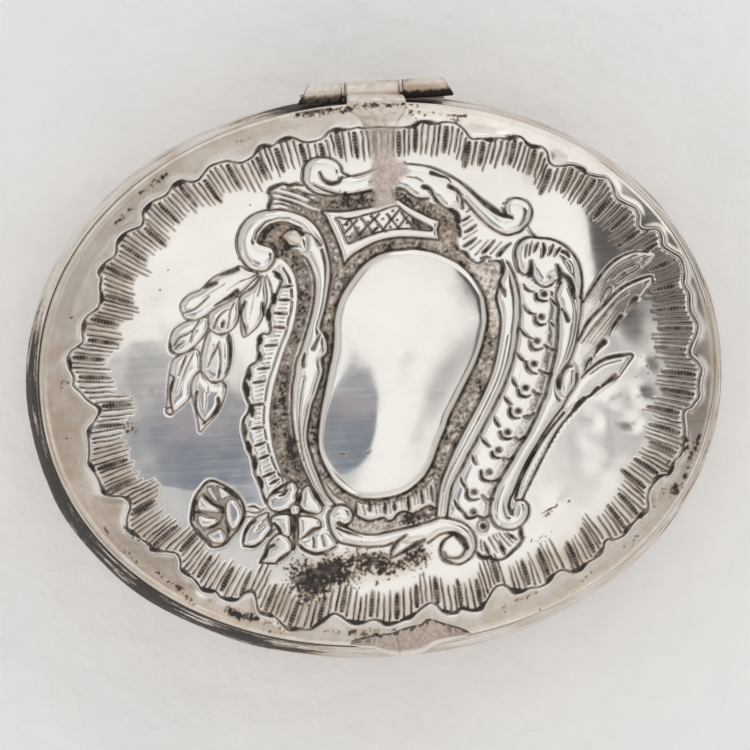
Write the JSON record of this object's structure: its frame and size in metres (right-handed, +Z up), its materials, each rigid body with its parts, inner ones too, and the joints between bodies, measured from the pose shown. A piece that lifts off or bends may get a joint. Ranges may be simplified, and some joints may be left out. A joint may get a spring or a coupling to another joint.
{
  "type": "oval hinged silver box",
  "caption": "Small oval silver keepsake or pill box with a bulged side, a domed embossed lid with scrolls and leaves, a three-tube back hinge and a front thumb lip.",
  "frame": {"origin": "centre of the oval on the underside of the base plate", "axes": "+X along the oval's long axis, +Y towards the hinge, +Z up through the lid"},
  "size_m": [0.06, 0.0494, 0.0189],
  "materials": {
    "worn_silver": "polished silver with fine scratches and light tarnish",
    "chased_silver": "embossed silver, bright on the high places, black oxide in the recesses",
    "tarnished_silver": "silver with brown and black tarnish",
    "soldered_silver": "dull warm grey solder repair",
    "pin_silver": "drawn wire, dull"
  },
  "bodies": {
    "body": {"base_plate": "worn_silver", "body_wall": "tarnished_silver", "body_bezel": "worn_silver", "body_knuckle_left": "worn_silver", "body_knuckle_right": "worn_silver", "hinge_bearer": "worn_silver", "hinge_pin": "pin_silver"},
    "lid": {"lid_panel": "chased_silver", "lid_rim": "worn_silver", "lid_knuckle": "worn_silver", "lid_hinge_strap": "soldered_silver", "thumb_lip": "soldered_silver"}
  },
  "joints": [
    {"name": "lid_hinge", "type": "hinge", "parent": "body", "child": "lid", "pos_m": [0.0011, 0.02425, 0.01215], "axis": [-1, 0, 0], "range_deg": [0, 110]}
  ]
}
